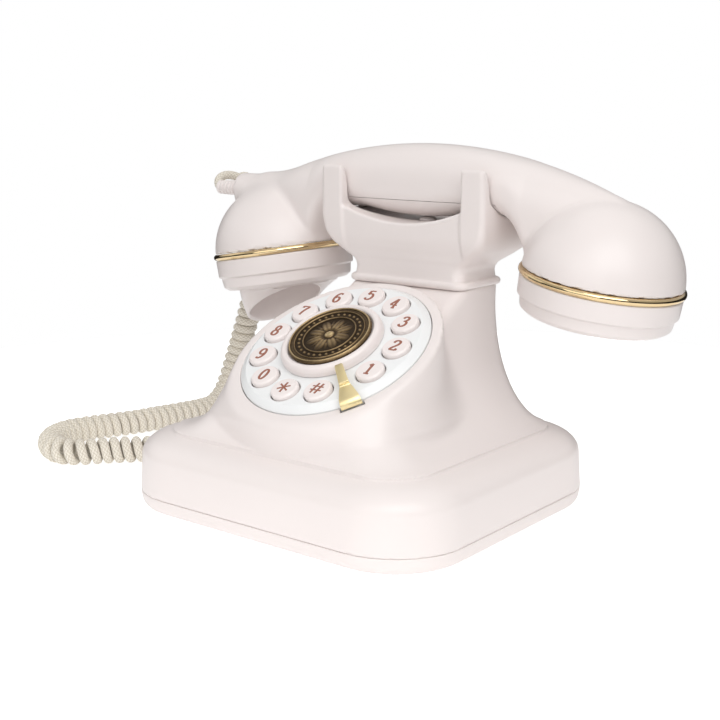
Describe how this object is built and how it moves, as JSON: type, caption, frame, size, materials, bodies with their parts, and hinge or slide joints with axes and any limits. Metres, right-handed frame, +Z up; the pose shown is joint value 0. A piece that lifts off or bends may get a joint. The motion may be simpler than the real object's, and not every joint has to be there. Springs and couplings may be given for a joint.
{
  "type": "retro desk telephone",
  "caption": "Retro desk telephone with a square plinth, tilted round push-button dial, horned cradle, dome-cupped handset and curly cord.",
  "frame": {"origin": "middle of the telephone's own box (without its cord) on the surface that it stands on, at the bottom of the feet", "axes": "+Z up; the dial faces -Y, so +Y is the back; +X runs along the handset to the earpiece"},
  "size_m": [0.2969, 0.1582, 0.1513],
  "materials": {
    "shell": "satin moulded, warm white",
    "dial_plate": "satin moulded, cool white",
    "keys": "satin moulded, printed digits",
    "medallion": "antiqued, dark in the hollows",
    "gold": "polished gold plate",
    "rubber": "matt",
    "steel": "zinc plated",
    "board": "green circuit board",
    "black_plastic": "matt moulded",
    "hook_plastic": "warm white moulded",
    "clear_plastic": "clear moulded",
    "cord": "braided cotton sleeve"
  },
  "bodies": {
    "base": {"housing": "shell", "rear_panel": "shell", "bottom_cover": "shell", "cradle_head": "shell", "dial_hub": "shell", "dial_plate": "dial_plate", "medallion": "medallion", "finger_stop": "gold", "keypad_membrane": "rubber", "keypad_board": "board", "main_board": "board", "ballast_plate": "steel", "hook_spring": "steel", "ringer_speaker": "black_plastic", "line_jack": "black_plastic", "handset_jack": "black_plastic", "hook_switch": "black_plastic", "cord_plug": "clear_plastic", "cord_hanging_coil": "cord", "cord_table_coil": "cord", "cord_tail": "cord", "case_screw_front_left": "steel", "case_screw_rear_left": "steel", "case_screw_front_right": "steel", "case_screw_rear_right": "steel", "foot_front_left": "rubber", "foot_rear_left": "rubber", "foot_front_right": "rubber", "foot_rear_right": "rubber"},
    "handset": {"handset_shell": "shell", "grip_strip": "shell", "mouth_ring": "gold", "ear_ring": "gold", "mouth_cap": "shell", "ear_cap": "shell", "ear_capsule": "black_plastic", "mouth_capsule": "black_plastic", "handset_weight": "steel", "grip_screw_left": "steel", "grip_screw_right": "steel", "cord_relief": "shell", "cord_lead": "cord"},
    "hook": {"hook_plunger": "hook_plastic"},
    "ringer_slider": {"ringer_switch": "black_plastic"},
    "key_1_cap": {"key_1": "keys"},
    "key_2_cap": {"key_2": "keys"},
    "key_3_cap": {"key_3": "keys"},
    "key_4_cap": {"key_4": "keys"},
    "key_5_cap": {"key_5": "keys"},
    "key_6_cap": {"key_6": "keys"},
    "key_7_cap": {"key_7": "keys"},
    "key_8_cap": {"key_8": "keys"},
    "key_9_cap": {"key_9": "keys"},
    "key_0_cap": {"key_0": "keys"},
    "key_star_cap": {"key_star": "keys"},
    "key_hash_cap": {"key_hash": "keys"}
  },
  "joints": [
    {"name": "handset_lift", "type": "slide", "parent": "base", "child": "handset", "axis": [0, 0, 1], "range_m": [0, 0.07], "deforming": ["cord_hanging_coil"]},
    {"name": "hook_travel", "type": "slide", "parent": "base", "child": "hook", "axis": [0, 0, 1], "range_m": [0, 0.003], "deforming": ["hook_spring"]},
    {"name": "ringer_slide", "type": "slide", "parent": "base", "child": "ringer_slider", "axis": [1, 0, 0], "range_m": [0, 0.01]},
    {"name": "press_1", "type": "slide", "parent": "base", "child": "key_1_cap", "axis": [0, 0.493, -0.87], "range_m": [0, 0.0015], "stiffness_N_per_m": 400},
    {"name": "press_2", "type": "slide", "parent": "base", "child": "key_2_cap", "axis": [0, 0.493, -0.87], "range_m": [0, 0.0015], "stiffness_N_per_m": 400},
    {"name": "press_3", "type": "slide", "parent": "base", "child": "key_3_cap", "axis": [0, 0.493, -0.87], "range_m": [0, 0.0015], "stiffness_N_per_m": 400},
    {"name": "press_4", "type": "slide", "parent": "base", "child": "key_4_cap", "axis": [0, 0.493, -0.87], "range_m": [0, 0.0015], "stiffness_N_per_m": 400},
    {"name": "press_5", "type": "slide", "parent": "base", "child": "key_5_cap", "axis": [0, 0.493, -0.87], "range_m": [0, 0.0015], "stiffness_N_per_m": 400},
    {"name": "press_6", "type": "slide", "parent": "base", "child": "key_6_cap", "axis": [0, 0.493, -0.87], "range_m": [0, 0.0015], "stiffness_N_per_m": 400},
    {"name": "press_7", "type": "slide", "parent": "base", "child": "key_7_cap", "axis": [0, 0.493, -0.87], "range_m": [0, 0.0015], "stiffness_N_per_m": 400},
    {"name": "press_8", "type": "slide", "parent": "base", "child": "key_8_cap", "axis": [0, 0.493, -0.87], "range_m": [0, 0.0015], "stiffness_N_per_m": 400},
    {"name": "press_9", "type": "slide", "parent": "base", "child": "key_9_cap", "axis": [0, 0.493, -0.87], "range_m": [0, 0.0015], "stiffness_N_per_m": 400},
    {"name": "press_0", "type": "slide", "parent": "base", "child": "key_0_cap", "axis": [0, 0.493, -0.87], "range_m": [0, 0.0015], "stiffness_N_per_m": 400},
    {"name": "press_star", "type": "slide", "parent": "base", "child": "key_star_cap", "axis": [0, 0.493, -0.87], "range_m": [0, 0.0015], "stiffness_N_per_m": 400},
    {"name": "press_hash", "type": "slide", "parent": "base", "child": "key_hash_cap", "axis": [0, 0.493, -0.87], "range_m": [0, 0.0015], "stiffness_N_per_m": 400}
  ],
  "couplings": [
    {"joint": "hook_travel", "follows": "handset_lift", "ratio": 0.042}
  ]
}
